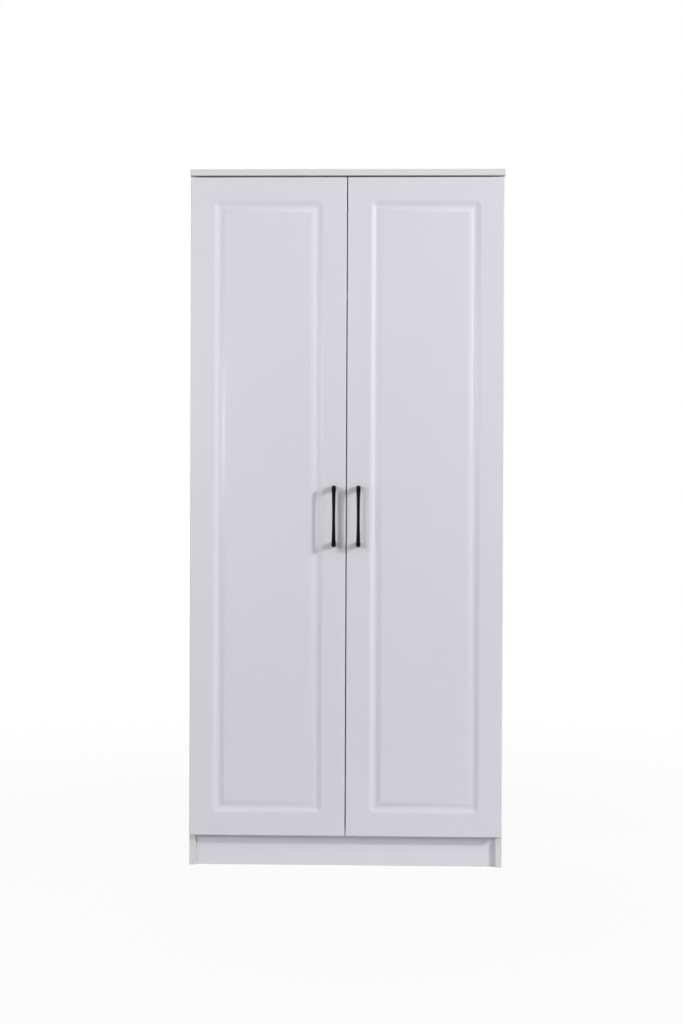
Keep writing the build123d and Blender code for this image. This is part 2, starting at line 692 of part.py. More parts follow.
def main():
    os.makedirs("parts", exist_ok=True)

    arm_pins = [arm_pin(ARM_REAR_PIN), arm_pin(ARM_FRONT_PIN)]
    hinge = {
        "arms": [fitted(hinge_arm(), arm_pins, adjusters())],
        "arm_pins": arm_pins,
        "adjusters": adjusters(),
        "plates": [fitted(mounting_plate(), plate_screws(), adjusters())],
        "plate_screws": plate_screws(),
        "outer_links": [outer_link()],
        "inner_links": [inner_link()],
        "cups": [fitted(hinge_cup(), cup_pins(), cup_screws())],
        "cup_pins": cup_pins(),
        "cup_screws": cup_screws(),
    }
    for name, pieces in hinge.items():
        save_pair(f"hinge_{name}", [copy for piece in pieces for copy in at_hinges(piece)])
    screws_in_side = [copy for screw in plate_screws() for copy in at_hinges(screw)]
    bores_in_door = [copy for bore in (cup_bore(), *cup_screws()) for copy in at_hinges(bore)]

    cams, bolts = left_fittings()
    dowels = left_dowels()
    nails = back_nails()
    sockets = [fitted(rail_socket(), rail_socket_screws())]
    joints = cams + bolts + dowels
    all_joints = joints + mirrored(joints)
    save("cam_locks", cams + mirrored(cams))
    save("cam_bolts", bolts + mirrored(bolts))
    save("wood_dowels", dowels + mirrored(dowels))
    save("back_panel_nails", nails)
    save_pair("rail_socket", sockets)
    save("rail_socket_screws", rail_socket_screws() + mirrored(rail_socket_screws()))
    save("hanging_rail", [hanging_rail()])

    pins = [shelf_pin(y) for y in PIN_YS]
    holes = [hole for y in PIN_YS for hole in pin_holes(y)]
    save("shelf_pins", pins + mirrored(pins))
    side = fitted(left_side(), joints, nails, holes, screws_in_side, rail_socket_screws())
    save_pair("side_panel", [side])

    brackets = [fitted(wall_bracket(), wall_bracket_screws(), [wall_hole()])]
    bracket_screws = wall_bracket_screws() + mirrored(wall_bracket_screws())
    save("wall_brackets", brackets + mirrored(brackets))
    save("wall_bracket_screws", bracket_screws)
    save("top_panel", [fitted(top_panel(), all_joints, nails, bracket_screws)])
    save("bottom_panel", [fitted(bottom_panel(), all_joints, nails)])
    save("hat_shelf", [fitted(hat_shelf(), all_joints, nails)])
    save("adjustable_shelf", [low_shelf()])
    save("front_plinth", [fitted(front_plinth(), all_joints)])
    save("rear_plinth", [fitted(rear_plinth(), all_joints)])
    save_pair("back_panel", [fitted(back_half(), nails, [wall_hole()])])
    save("back_joining_strip", [joining_strip()])
    save("door_bumpers", door_bumpers())

    screws = handle_screws()
    save_pair("door", [fitted(left_door(), bores_in_door, screws)])
    save_pair("handle", [fitted(handle(), screws)])
    save_pair("handle_screws", screws)


main()
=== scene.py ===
"""Two-door wardrobe: foil-wrapped raised-panel doors on a melamine-faced chipboard carcass.

The sections follow the wardrobe as it is put together: boards, back, fittings, doors, hinges,
and last the studio it stands in. Metres, +Z up, the doors face -Y.
"""

import json
import math

import bmesh
import bpy
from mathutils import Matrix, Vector


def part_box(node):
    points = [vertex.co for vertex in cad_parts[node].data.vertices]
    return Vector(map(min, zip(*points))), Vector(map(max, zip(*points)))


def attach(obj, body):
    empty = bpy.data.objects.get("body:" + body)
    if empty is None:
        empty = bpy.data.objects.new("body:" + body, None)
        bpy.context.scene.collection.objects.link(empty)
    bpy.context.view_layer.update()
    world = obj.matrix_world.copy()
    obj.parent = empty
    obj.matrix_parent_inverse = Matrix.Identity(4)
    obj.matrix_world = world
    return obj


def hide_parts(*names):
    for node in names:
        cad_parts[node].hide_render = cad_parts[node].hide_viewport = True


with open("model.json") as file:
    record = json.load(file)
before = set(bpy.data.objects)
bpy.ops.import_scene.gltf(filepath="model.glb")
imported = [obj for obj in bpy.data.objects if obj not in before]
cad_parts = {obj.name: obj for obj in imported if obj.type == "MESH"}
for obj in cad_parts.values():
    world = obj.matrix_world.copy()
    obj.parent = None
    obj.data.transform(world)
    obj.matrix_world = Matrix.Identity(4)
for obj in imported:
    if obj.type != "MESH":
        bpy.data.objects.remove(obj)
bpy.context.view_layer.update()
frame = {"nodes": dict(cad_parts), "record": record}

# ---- side boards ----
# Two upright boards of chipboard with white melamine paper pressed on both faces. The front edge
# has a glued plastic band with a broken arris; the rear edge and the foot are left as sawn.


def linear(code):
    """Linear RGBA of an sRGB hex colour."""
    parts = [int(code[i : i + 2], 16) / 255 for i in (1, 3, 5)]
    return tuple(c / 12.92 if c <= 0.04045 else ((c + 0.055) / 1.055) ** 2.4 for c in parts) + (1.0,)


def add_node(tree, kind, settings=None, links=None):
    """A node with its properties, its unlinked inputs and its links set."""
    node = tree.nodes.new(kind)
    for key, value in (settings or {}).items():
        if isinstance(key, str) and hasattr(node, key):
            setattr(node, key, value)
        else:
            node.inputs[key].default_value = value
    for key, source in (links or {}).items():
        tree.links.new(source, node.inputs[key])
    return node


def start_material(name, **finish):
    """A material with one principled shader; finish holds the shader's own constants."""
    material = bpy.data.materials.new(name)
    material.use_nodes = True
    shader = material.node_tree.nodes["Principled BSDF"]
    for key, value in finish.items():
        shader.inputs[key.replace("_", " ")].default_value = value
    return material, material.node_tree, shader


def pearl_white(name, light, dark, grain, depth, roughness):
    """White facing with a faint cloudiness and the press plate's fine pearl grain."""
    material, tree, shader = start_material(name, IOR=1.5)
    place = add_node(tree, "ShaderNodeTexCoord")
    cloud = add_node(
        tree,
        "ShaderNodeTexNoise",
        {"Scale": 2.6, "Detail": 3.0, "Roughness": 0.55},
        {"Vector": place.outputs["Object"]},
    )
    tint = add_node(
        tree,
        "ShaderNodeMix",
        {"data_type": "RGBA", 6: linear(dark), 7: linear(light)},
        {"Factor": cloud.outputs["Fac"]},
    )
    pearl = add_node(
        tree,
        "ShaderNodeTexNoise",
        {"Scale": 1 / grain, "Detail": 2.0, "Roughness": 0.6},
        {"Vector": place.outputs["Object"]},
    )
    gloss = add_node(
        tree,
        "ShaderNodeMapRange",
        {"To Min": roughness - 0.05, "To Max": roughness + 0.05},
        {"Value": pearl.outputs["Fac"]},
    )
    bump = add_node(
        tree,
        "ShaderNodeBump",
        {"Strength": 0.5, "Distance": depth},
        {"Height": pearl.outputs["Fac"]},
    )
    tree.links.new(tint.outputs[2], shader.inputs["Base Color"])
    tree.links.new(gloss.outputs["Result"], shader.inputs["Roughness"])
    tree.links.new(bump.outputs["Normal"], shader.inputs["Normal"])
    return material


# Melamine paper pressed against an etched plate: matt, with a grain of about 1.5 mm that only
# breaks up the highlights.
melamine = pearl_white("melamine_pearl_white", "#E4E4E3", "#E0E0E0", 0.0015, 0.00004, 0.42)
# The band is smooth extruded plastic, a touch glossier and cleaner than the paper.
edge_band = pearl_white("abs_edge_band_white", "#E6E6E5", "#E2E2E2", 0.004, 0.00002, 0.3)


CHIP_LENGTH = 1 / 260


def sawn_chipboard():
    """Sawn edge: pale and dark chips about 4 mm long, with open pores between them."""
    material, tree, shader = start_material("sawn_chipboard", Roughness=0.85)
    place = add_node(tree, "ShaderNodeTexCoord")
    chips = add_node(
        tree,
        "ShaderNodeTexVoronoi",
        {"Scale": 1 / CHIP_LENGTH},
        {"Vector": place.outputs["Object"]},
    )
    tone = add_node(tree, "ShaderNodeSeparateColor", links={"Color": chips.outputs["Color"]})
    ramp = add_node(tree, "ShaderNodeValToRGB", links={"Fac": tone.outputs[0]})
    ramp.color_ramp.elements[0].color = linear("#9A7850")
    ramp.color_ramp.elements[1].color = linear("#D9BF92")
    bump = add_node(
        tree,
        "ShaderNodeBump",
        {"Strength": 0.6, "Distance": 0.0003},
        {"Height": chips.outputs["Distance"]},
    )
    tree.links.new(ramp.outputs["Color"], shader.inputs["Base Color"])
    tree.links.new(bump.outputs["Normal"], shader.inputs["Normal"])
    return material


chipboard = sawn_chipboard()
home = {
    node: body
    for body, nodes in frame["record"]["behaviour"]["bodies"].items()
    for node in nodes
}


def new_piece(name, mesh, materials):
    """A mesh object in the scene, with its materials in order."""
    piece = bpy.data.objects.new(name, mesh)
    bpy.context.scene.collection.objects.link(piece)
    mesh.materials.clear()
    for material in materials:
        mesh.materials.append(material)
    return piece


def settled(piece):
    """Turns what the piece's modifiers make into its own plain mesh, and takes them off."""
    graph = bpy.context.evaluated_depsgraph_get()
    made = bpy.data.meshes.new_from_object(
        piece.evaluated_get(graph), preserve_all_data_layers=True, depsgraph=graph
    )
    piece.modifiers.clear()
    piece.data = made
    return piece


def stand_for(piece, node):
    """The piece rides on the node's body and is shown in the node's place."""
    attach(piece, home[node])
    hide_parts(node)


WELD = 0.000002  # corners closer than this are one corner
FLAT_ANGLE = math.radians(0.5)  # faces that meet at less are one flat face
SHARP_ANGLE = math.radians(35)  # edges that turn by more get their arris broken


def eased(name, node, arris, materials):
    """A node's own shape with its sharp edges broken: welded, its flat faces joined, bevelled."""
    source = frame["nodes"][node].data
    mesh = bpy.data.meshes.new(name)
    corners = [vertex.co for vertex in source.vertices]
    mesh.from_pydata(corners, [], [tuple(face.vertices) for face in source.polygons])
    work = bmesh.new()
    work.from_mesh(mesh)
    bmesh.ops.remove_doubles(work, verts=work.verts, dist=WELD)
    bmesh.ops.dissolve_limit(work, angle_limit=FLAT_ANGLE, verts=work.verts, edges=work.edges)
    work.to_mesh(mesh)
    work.free()
    mesh.shade_smooth()
    piece = new_piece(name, mesh, materials)
    bevel = piece.modifiers.new("arris", "BEVEL")
    bevel.width = arris
    bevel.segments = 2
    bevel.angle_limit = SHARP_ANGLE
    bevel.use_clamp_overlap = False
    bevel.harden_normals = True
    settled(piece)
    stand_for(piece, node)
    return piece


def face_edges(piece, sides, index, depth=0.0009):
    """Gives a board's edge faces another of its materials; a side is an axis and -1 or +1."""
    points = [vertex.co for vertex in piece.data.vertices]
    for axis, sign in sides:
        plane = max(point[axis] * sign for point in points)
        for face in piece.data.polygons:
            if plane - face.center[axis] * sign < depth:
                face.material_index = index


X, Y, Z = 0, 1, 2  # the axes
BANDED, SAWN = 1, 2  # places in a board's list of materials; its faces have place 0
BOARD_ARRIS = 0.0005
board_finish = (melamine, edge_band, chipboard)
for side in ("left", "right"):
    node = f"{side}_side_panel"
    board = eased(f"{side}_side_board", node, BOARD_ARRIS, board_finish)
    face_edges(board, [(Y, 1), (Z, -1), (Z, 1)], SAWN)
    face_edges(board, [(Y, -1)], BANDED)

# ---- bottom board, fixed shelf, low shelf, top board and plinths ----
# The same melamine chipboard, drawn up to the sides with cams. Every board but the plinths is banded
# on the front; the top board and the loose low shelf are banded on both ends too.

# The plinths are cut from a cooler batch of paper, which matches the doors' foil. Their white is also
# painted a little lighter than the boards' to make up for the weak light the floor bounces onto them,
# so their colour is partly their own tint and partly painted light.
cool_melamine_painted_lighter = pearl_white("melamine_cool_white_painted_lighter", "#EAE9F1", "#E7E6ED", 0.0015, 0.00004, 0.42)
plinth_finish = (cool_melamine_painted_lighter, edge_band, chipboard)
for name, node, finish, banded, sawn in (
    ("bottom_board", "bottom_panel", board_finish, [(Y, -1)], [(Y, 1)]),
    ("fixed_hat_shelf", "hat_shelf", board_finish, [(Y, -1)], [(Y, 1)]),
    ("low_shelf_board", "adjustable_shelf", board_finish, [(Y, -1), (X, -1), (X, 1)], [(Y, 1)]),
    ("top_board", "top_panel", board_finish, [(Y, -1), (X, -1), (X, 1)], [(Y, 1)]),
    ("front_plinth_board", "front_plinth", plinth_finish, [], [(Z, -1), (Z, 1)]),
    ("rear_plinth_board", "rear_plinth", plinth_finish, [], [(Z, -1), (Z, 1)]),
):
    board = eased(name, node, BOARD_ARRIS, finish)
    face_edges(board, sawn, SAWN)
    face_edges(board, banded, BANDED)

# ---- back: two hardboard halves and their joining strip ----
# Wet-pressed 3 mm hardboard, lacquered white inside and raw brown outside, pushed into an extruded
# white plastic strip down the middle and nailed to the board edges.


def raw_hardboard():
    """Raw face: brown pressed fibre, cloudy, with loose fibres roughening it."""
    material, tree, shader = start_material("raw_hardboard", Roughness=0.8)
    place = add_node(tree, "ShaderNodeTexCoord")
    cloud = add_node(
        tree,
        "ShaderNodeTexNoise",
        {"Scale": 34.0, "Detail": 8.0, "Roughness": 0.7},
        {"Vector": place.outputs["Object"]},
    )
    ramp = add_node(tree, "ShaderNodeValToRGB", links={"Fac": cloud.outputs["Fac"]})
    ramp.color_ramp.elements[0].position = 0.3
    ramp.color_ramp.elements[0].color = linear("#856342")
    ramp.color_ramp.elements[1].position = 0.7
    ramp.color_ramp.elements[1].color = linear("#9E7952")
    fibre = add_node(
        tree,
        "ShaderNodeTexNoise",
        {"Scale": 420.0, "Detail": 3.0},
        {"Vector": place.outputs["Object"]},
    )
    bump = add_node(
        tree,
        "ShaderNodeBump",
        {"Strength": 0.5, "Distance": 0.0003},
        {"Height": fibre.outputs["Fac"]},
    )
    tree.links.new(ramp.outputs["Color"], shader.inputs["Base Color"])
    tree.links.new(bump.outputs["Normal"], shader.inputs["Normal"])
    return material


# Roller-coated lacquer over the smooth face: flatter white than the boards, slight fibre show-through.
hardboard_lacquer = pearl_white("hardboard_white_lacquer", "#E0E0DD", "#DADAD7", 0.0025, 0.00006, 0.5)
hardboard_raw = raw_hardboard()
LACQUERED = 1  # place of the lacquer in the sheet's list of materials
SHEET_ARRIS = 0.0003
for side in ("left", "right"):
    node = f"{side}_back_panel"
    sheet_finish = (hardboard_raw, hardboard_lacquer)
    sheet = eased(f"{side}_back_sheet", node, SHEET_ARRIS, sheet_finish)
    face_edges(sheet, [(Y, -1)], LACQUERED)

# Extruded soft-white plastic: even colour, low gloss, faint die lines along its length.
strip_plastic = pearl_white("extruded_pvc_white", "#E8E8E4", "#E2E2DE", 0.003, 0.00003, 0.35)
eased("back_joint_strip", "back_joining_strip", 0.00015, (strip_plastic,))

# ---- nails in the back ----
# Bright steel panel nails, flat-headed, hammered in every 150 mm through the hardboard into the
# boards' rear edges.


def spots(node, facing):
    """For each separate solid of a node: the middle of its outer end, and the way it faces."""
    work = bmesh.new()
    work.from_mesh(frame["nodes"][node].data)
    bmesh.ops.remove_doubles(work, verts=work.verts, dist=WELD)
    seen = set()
    places = []
    for start in work.verts:
        if start in seen:
            continue
        seen.add(start)
        queue = [start]
        low = start.co.copy()
        high = start.co.copy()
        while queue:
            vertex = queue.pop()
            low = Vector(map(min, low, vertex.co))
            high = Vector(map(max, high, vertex.co))
            for edge in vertex.link_edges:
                other = edge.other_vert(vertex)
                if other not in seen:
                    seen.add(other)
                    queue.append(other)
        middle = (low + high) / 2
        outward = Vector(facing(middle))
        places.append((middle + outward * (high - low) / 2, outward))
    work.free()
    return places


def start_tree(name, **inputs):
    """A geometry node tree with named inputs; each input's value is its kind of socket."""
    tree = bpy.data.node_groups.new(name, "GeometryNodeTree")
    tree.interface.new_socket("Geometry", in_out="INPUT", socket_type="NodeSocketGeometry")
    for key, kind in inputs.items():
        tree.interface.new_socket(
            key.replace("_", " "), in_out="INPUT", socket_type=f"NodeSocket{kind}"
        )
    tree.interface.new_socket("Geometry", in_out="OUTPUT", socket_type="NodeSocketGeometry")
    return tree, add_node(tree, "NodeGroupInput").outputs


def end_tree(tree, geometry, material):
    """Closes a tree as every one here ends: instances made real, then the material."""
    real = add_node(tree, "GeometryNodeRealizeInstances", links={"Geometry": geometry})
    dressed = add_node(
        tree,
        "GeometryNodeSetMaterial",
        links={"Geometry": real.outputs[0], "Material": material},
    )
    add_node(tree, "NodeGroupOutput", links={"Geometry": dressed.outputs[0]})


def grown(name, mesh, tree, values):
    """What a tree makes from a mesh, as a plain mesh object."""
    piece = new_piece(name, mesh, ())
    modifier = piece.modifiers.new(tree.name, "NODES")
    modifier.node_group = tree
    for socket in tree.interface.items_tree:
        if socket.in_out == "INPUT" and socket.name in values:
            modifier[socket.identifier] = values[socket.name]
    settled(piece)
    piece.data.shade_smooth()
    piece.data.set_sharp_from_angle(angle=math.radians(30))
    return piece


def fastener_tree():
    """Nails or cross-recess screws at the mesh's points, each turned by its own random angle."""
    tree, given = start_tree(
        "driven_fasteners",
        Top_Radius="Float",
        Under_Radius="Float",
        Head_Height="Float",
        Shank_Radius="Float",
        Length="Float",
        Cross_Recess="Bool",
        Seed="Int",
        Material="Material",
    )
    head = add_node(
        tree,
        "GeometryNodeMeshCone",
        {"Vertices": 20},
        {
            "Radius Top": given["Top Radius"],
            "Radius Bottom": given["Under Radius"],
            "Depth": given["Head Height"],
        },
    )
    under = add_node(
        tree,
        "ShaderNodeMath",
        {"operation": "MULTIPLY", 1: -1.0},
        {0: given["Head Height"]},
    )
    head_drop = add_node(tree, "ShaderNodeCombineXYZ", links={"Z": under.outputs[0]})
    head_set = add_node(
        tree,
        "GeometryNodeTransform",
        links={"Geometry": head.outputs["Mesh"], "Translation": head_drop.outputs[0]},
    )
    shank = add_node(
        tree,
        "GeometryNodeMeshCylinder",
        {"Vertices": 12},
        {"Radius": given["Shank Radius"], "Depth": given["Length"]},
    )
    middle = add_node(
        tree,
        "ShaderNodeMath",
        {"operation": "MULTIPLY_ADD", 1: -0.5},
        {0: given["Length"], 2: under.outputs[0]},
    )
    raised = add_node(
        tree,
        "ShaderNodeMath",
        {"operation": "MULTIPLY_ADD", 1: 0.4},
        {0: given["Head Height"], 2: middle.outputs[0]},
    )
    shank_drop = add_node(tree, "ShaderNodeCombineXYZ", links={"Z": raised.outputs[0]})
    shank_set = add_node(
        tree,
        "GeometryNodeTransform",
        links={"Geometry": shank.outputs["Mesh"], "Translation": shank_drop.outputs[0]},
    )
    body = add_node(tree, "GeometryNodeMeshBoolean", {"operation": "UNION"})
    tree.links.new(head_set.outputs[0], body.inputs["Mesh"])
    tree.links.new(shank_set.outputs[0], body.inputs["Mesh"])
    arm_long = add_node(
        tree, "ShaderNodeMath", {"operation": "MULTIPLY", 1: 1.15}, {0: given["Top Radius"]}
    )
    arm_wide = add_node(
        tree, "ShaderNodeMath", {"operation": "MULTIPLY", 1: 0.27}, {0: given["Top Radius"]}
    )
    arm_deep = add_node(
        tree, "ShaderNodeMath", {"operation": "MULTIPLY", 1: 1.3}, {0: given["Head Height"]}
    )
    arms = []
    for long_way, wide_way in (("X", "Y"), ("Y", "X")):
        size = add_node(
            tree,
            "ShaderNodeCombineXYZ",
            links={
                long_way: arm_long.outputs[0],
                wide_way: arm_wide.outputs[0],
                "Z": arm_deep.outputs[0],
            },
        )
        arms.append(add_node(tree, "GeometryNodeMeshCube", links={"Size": size.outputs[0]}))
    recessed = add_node(
        tree,
        "GeometryNodeMeshBoolean",
        {"operation": "DIFFERENCE"},
        {"Mesh 1": body.outputs["Mesh"]},
    )
    for arm in arms:
        tree.links.new(arm.outputs["Mesh"], recessed.inputs["Mesh 2"])
    one = add_node(
        tree,
        "GeometryNodeSwitch",
        {"input_type": "GEOMETRY"},
        {
            "Switch": given["Cross Recess"],
            "False": body.outputs["Mesh"],
            "True": recessed.outputs["Mesh"],
        },
    )
    turn = add_node(
        tree,
        "FunctionNodeRandomValue",
        {"data_type": "FLOAT", 2: 0.0, 3: math.radians(90)},
        {"Seed": given["Seed"]},
    )
    spin = add_node(tree, "FunctionNodeAxisAngleToRotation", links={"Angle": turn.outputs[1]})
    facing = add_node(
        tree,
        "GeometryNodeInputNamedAttribute",
        {"data_type": "FLOAT_VECTOR", "Name": "facing"},
    )
    aim = add_node(
        tree,
        "FunctionNodeAlignRotationToVector",
        {"axis": "Z"},
        {"Rotation": spin.outputs[0], "Vector": facing.outputs[0]},
    )
    driven = add_node(
        tree,
        "GeometryNodeInstanceOnPoints",
        links={
            "Points": given["Geometry"],
            "Instance": one.outputs["Output"],
            "Rotation": aim.outputs[0],
        },
    )
    end_tree(tree, driven.outputs[0], given["Material"])
    return tree


fasteners = fastener_tree()


def drive(name, node, facing, material, top, under, height, shank, length, cross, seed):
    """One group of fasteners in the place of a node's solids; sizes in millimetres."""
    places = spots(node, facing)
    mesh = bpy.data.meshes.new(name)
    mesh.from_pydata([place for place, outward in places], [], [])
    ways = mesh.attributes.new("facing", "FLOAT_VECTOR", "POINT")
    for point, (place, outward) in zip(ways.data, places):
        point.vector = outward
    values = {
        "Top Radius": top / 1000,
        "Under Radius": under / 1000,
        "Head Height": height / 1000,
        "Shank Radius": shank / 1000,
        "Length": length / 1000,
        "Cross Recess": cross,
        "Seed": seed,
        "Material": material,
    }
    stand_for(grown(name, mesh, fasteners, values), node)


def plated(name, colour, shade, roughness, scale):
    """Plated metal: one bright tone with faint clouding in tint and polish."""
    material, tree, shader = start_material(name, Metallic=1.0)
    place = add_node(tree, "ShaderNodeTexCoord")
    cloud = add_node(
        tree,
        "ShaderNodeTexNoise",
        {"Scale": scale, "Detail": 4.0},
        {"Vector": place.outputs["Object"]},
    )
    tint = add_node(
        tree,
        "ShaderNodeMix",
        {"data_type": "RGBA", 6: linear(shade), 7: linear(colour)},
        {"Factor": cloud.outputs["Fac"]},
    )
    polish = add_node(
        tree,
        "ShaderNodeMapRange",
        {"To Min": roughness * 1.3, "To Max": roughness * 0.8},
        {"Value": cloud.outputs["Fac"]},
    )
    tree.links.new(tint.outputs[2], shader.inputs["Base Color"])
    tree.links.new(polish.outputs["Result"], shader.inputs["Roughness"])
    return material


# Zinc-plated steel: bluish, half bright, cloudy where the plating bath pooled.
zinc_plate = plated("zinc_plated_steel", "#C9CCCF", "#A9ADB2", 0.3, 260.0)
drive(
    "back_nails", "back_panel_nails", lambda at: (0, 1, 0), zinc_plate,
    top=1.3, under=1.6, height=0.6, shank=0.7, length=20.0, cross=False, seed=3,
)

# ---- knock-down fittings: cams, bolts and dowels ----
# Die-cast zinc cams turned a half turn on steel bolts pull each joint tight; glued beech dowels
# keep the boards in line. Only the cams' slotted faces show.


def keep_node(node, material):
    """A node whose own shape is shown gets its finish."""
    for place in frame["nodes"][node].material_slots:
        place.material = material


# Die-cast zinc, tumbled: grey, softly rough from the mould.
cast_zinc = plated("die_cast_zinc", "#B4B6B8", "#8E9092", 0.42, 400.0)
eased("cam_discs", "cam_locks", 0.0002, (cast_zinc,))
keep_node("cam_bolts", zinc_plate)


def turned_beech():
    """Beech: pinkish pale wood with short dark flecks along the grain."""
    material, tree, shader = start_material("turned_beech", Roughness=0.6)
    place = add_node(tree, "ShaderNodeTexCoord")
    along = add_node(
        tree,
        "ShaderNodeMapping",
        {"Scale": (60.0, 700.0, 700.0)},
        {"Vector": place.outputs["Object"]},
    )
    fleck = add_node(
        tree,
        "ShaderNodeTexNoise",
        {"Scale": 1.0, "Detail": 4.0},
        {"Vector": along.outputs[0]},
    )
    ramp = add_node(tree, "ShaderNodeValToRGB", links={"Fac": fleck.outputs["Fac"]})
    ramp.color_ramp.elements[0].position = 0.35
    ramp.color_ramp.elements[0].color = linear("#B98E62")
    ramp.color_ramp.elements[1].position = 0.6
    ramp.color_ramp.elements[1].color = linear("#DDB98D")
    tree.links.new(ramp.outputs["Color"], shader.inputs["Base Color"])
    return material


keep_node("wood_dowels", turned_beech())

# ---- shelf supports ----
# Four moulded plastic pegs pushed into the 5 mm holes under the low shelf.


def moulded(name, light, dark, roughness, grain, depth, **finish):
    """Injection-moulded plastic: even colour over a fine spark-eroded grain."""
    material, tree, shader = start_material(name, **finish)
    place = add_node(tree, "ShaderNodeTexCoord")
    grit = add_node(
        tree,
        "ShaderNodeTexNoise",
        {"Scale": 1 / grain, "Detail": 3.0},
        {"Vector": place.outputs["Object"]},
    )
    tint = add_node(
        tree,
        "ShaderNodeMix",
        {"data_type": "RGBA", 6: linear(dark), 7: linear(light)},
        {"Factor": grit.outputs["Fac"]},
    )
    gloss = add_node(
        tree,
        "ShaderNodeMapRange",
        {"To Min": roughness - 0.06, "To Max": roughness + 0.06},
        {"Value": grit.outputs["Fac"]},
    )
    bump = add_node(
        tree,
        "ShaderNodeBump",
        {"Strength": 0.5, "Distance": depth},
        {"Height": grit.outputs["Fac"]},
    )
    tree.links.new(tint.outputs[2], shader.inputs["Base Color"])
    tree.links.new(gloss.outputs["Result"], shader.inputs["Roughness"])
    tree.links.new(bump.outputs["Normal"], shader.inputs["Normal"])
    return material


# Nylon pegs: milky white, satin from the mould.
nylon = moulded("moulded_nylon_white", "#EDEDE8", "#E2E2DC", 0.4, 0.0008, 0.00003, IOR=1.53)
eased("shelf_pegs", "shelf_pins", 0.0003, (nylon,))

# ---- hanging rail and its end sockets ----
# Oval tube of rolled steel, chromed, dropped into two moulded sockets screwed to the sides.


def drawn_chrome():
    """Chrome over rolled tube: mirror-bright, with hairline draw marks along its length."""
    material, tree, shader = start_material("chromed_steel", Metallic=1.0)
    place = add_node(tree, "ShaderNodeTexCoord")
    along = add_node(
        tree,
        "ShaderNodeMapping",
        {"Scale": (3.0, 500.0, 500.0)},
        {"Vector": place.outputs["Object"]},
    )
    line = add_node(
        tree,
        "ShaderNodeTexNoise",
        {"Scale": 1.0, "Detail": 2.0},
        {"Vector": along.outputs[0]},
    )
    tint = add_node(
        tree,
        "ShaderNodeMix",
        {"data_type": "RGBA", 6: linear("#CDD0D3"), 7: linear("#DEE0E2")},
        {"Factor": line.outputs["Fac"]},
    )
    polish = add_node(
        tree,
        "ShaderNodeMapRange",
        {"To Min": 0.06, "To Max": 0.16},
        {"Value": line.outputs["Fac"]},
    )
    tree.links.new(tint.outputs[2], shader.inputs["Base Color"])
    tree.links.new(polish.outputs["Result"], shader.inputs["Roughness"])
    return material


keep_node("hanging_rail", drawn_chrome())
for side in ("left", "right"):
    eased(f"{side}_rail_holder", f"{side}_rail_socket", 0.0004, (nylon,))
drive(
    "rail_holder_screws", "rail_socket_screws",
    lambda at: (-math.copysign(1, at.x), 0, 0), zinc_plate,
    top=3.5, under=1.75, height=2.2, shank=1.75, length=12.0, cross=True, seed=5,
)

# ---- wall angles ----
# Two bent steel angles under the top board, screwed up into it, with a hole for the wall screw.

eased("wall_angles", "wall_brackets", 0.0002, (zinc_plate,))
drive(
    "wall_angle_screws", "wall_bracket_screws", lambda at: (0, 0, -1), zinc_plate,
    top=3.4, under=1.75, height=1.9, shank=1.75, length=11.0, cross=True, seed=8,
)

# ---- door bumpers ----
# Self-stick buttons of clear soft plastic that quieten the doors.

soft_clear = moulded(
    "clear_soft_plastic", "#F4F4F0", "#EDEDE8", 0.25, 0.002, 0.00002,
    IOR=1.45, Transmission_Weight=0.7,
)
keep_node("door_bumpers", soft_clear)

# ---- doors ----
# Each door is 18 mm fibreboard: a shaped cutter runs one rectangle of groove in the face, and white
# foil is drawn down over the face, groove and edges in a vacuum press. The back is bored for hinges.

GROOVE_INSET = 0.0835  # door edge to the middle of the groove
CUTTER_REACH = 0.0175
CUTTER_FLAT = 0.0037
GROOVE_DEPTH = 0.0046
FLANK_CROWN = 0.00037  # how far a flank bulges above the straight line
GROOVE_STEPS = 52
FOIL_SPREAD = 0.00075  # how far the foil carries each line to either side
FACE_ROUND = 0.002
BACK_ROUND = 0.0004
ROUND_STEPS = 6
FOIL_CORNER = 0.0012
LEAD = 0.0015  # from each groove and round to the ring that holds the flat beside it


def cutter_depth(reach):
    """Height of the cutter's outline below the face, at a distance from its axis."""
    if reach >= CUTTER_REACH:
        return 0.0
    if reach <= CUTTER_FLAT:
        return -GROOVE_DEPTH
    rise = (reach - CUTTER_FLAT) / (CUTTER_REACH - CUTTER_FLAT)
    return GROOVE_DEPTH * (rise - 1) + 4 * FLANK_CROWN * rise * (1 - rise)


def foil_depth(reach):
    """The same outline after the foil has softened its lines."""
    spread = [step * FOIL_SPREAD / 5 for step in range(-5, 6)]
    return sum(cutter_depth(abs(reach + step)) for step in spread) / len(spread)


def door_section(thickness, to_centre):
    """Half section of a door, from the middle of its face round the edge to the middle of its back.

    Each point is the distance outwards from the groove's centre line, the depth behind the face,
    and the corner radius that a ring through it has.
    """
    points = [(-to_centre, 0.0, 0.0)]
    for step in range(GROOVE_STEPS + 1):
        outward = (CUTTER_REACH + LEAD) * (2 * step / GROOVE_STEPS - 1)
        points.append((outward, -foil_depth(outward), max(outward, 0.0)))
    edge = GROOVE_INSET

    def corner(outward):
        return max(0.0, FOIL_CORNER - (edge - outward))

    for round_off, front, back in ((FACE_ROUND, 0.0, False), (BACK_ROUND, thickness, True)):
        arc = []
        for step in range(ROUND_STEPS + 1):
            turn = math.radians(90 * step / ROUND_STEPS)
            outward = edge - round_off * (1 - math.sin(turn))
            inward = round_off * (1 - math.cos(turn))
            arc.append((outward, front + (-inward if back else inward), corner(outward)))
        flat = (edge - round_off - LEAD, front, 0.0)
        side = (edge, front + (-1 if back else 1) * (round_off + LEAD), FOIL_CORNER)
        points += [side, *reversed(arc), flat] if back else [flat, *arc, side]
    return points + [(-to_centre, thickness, 0.0)]


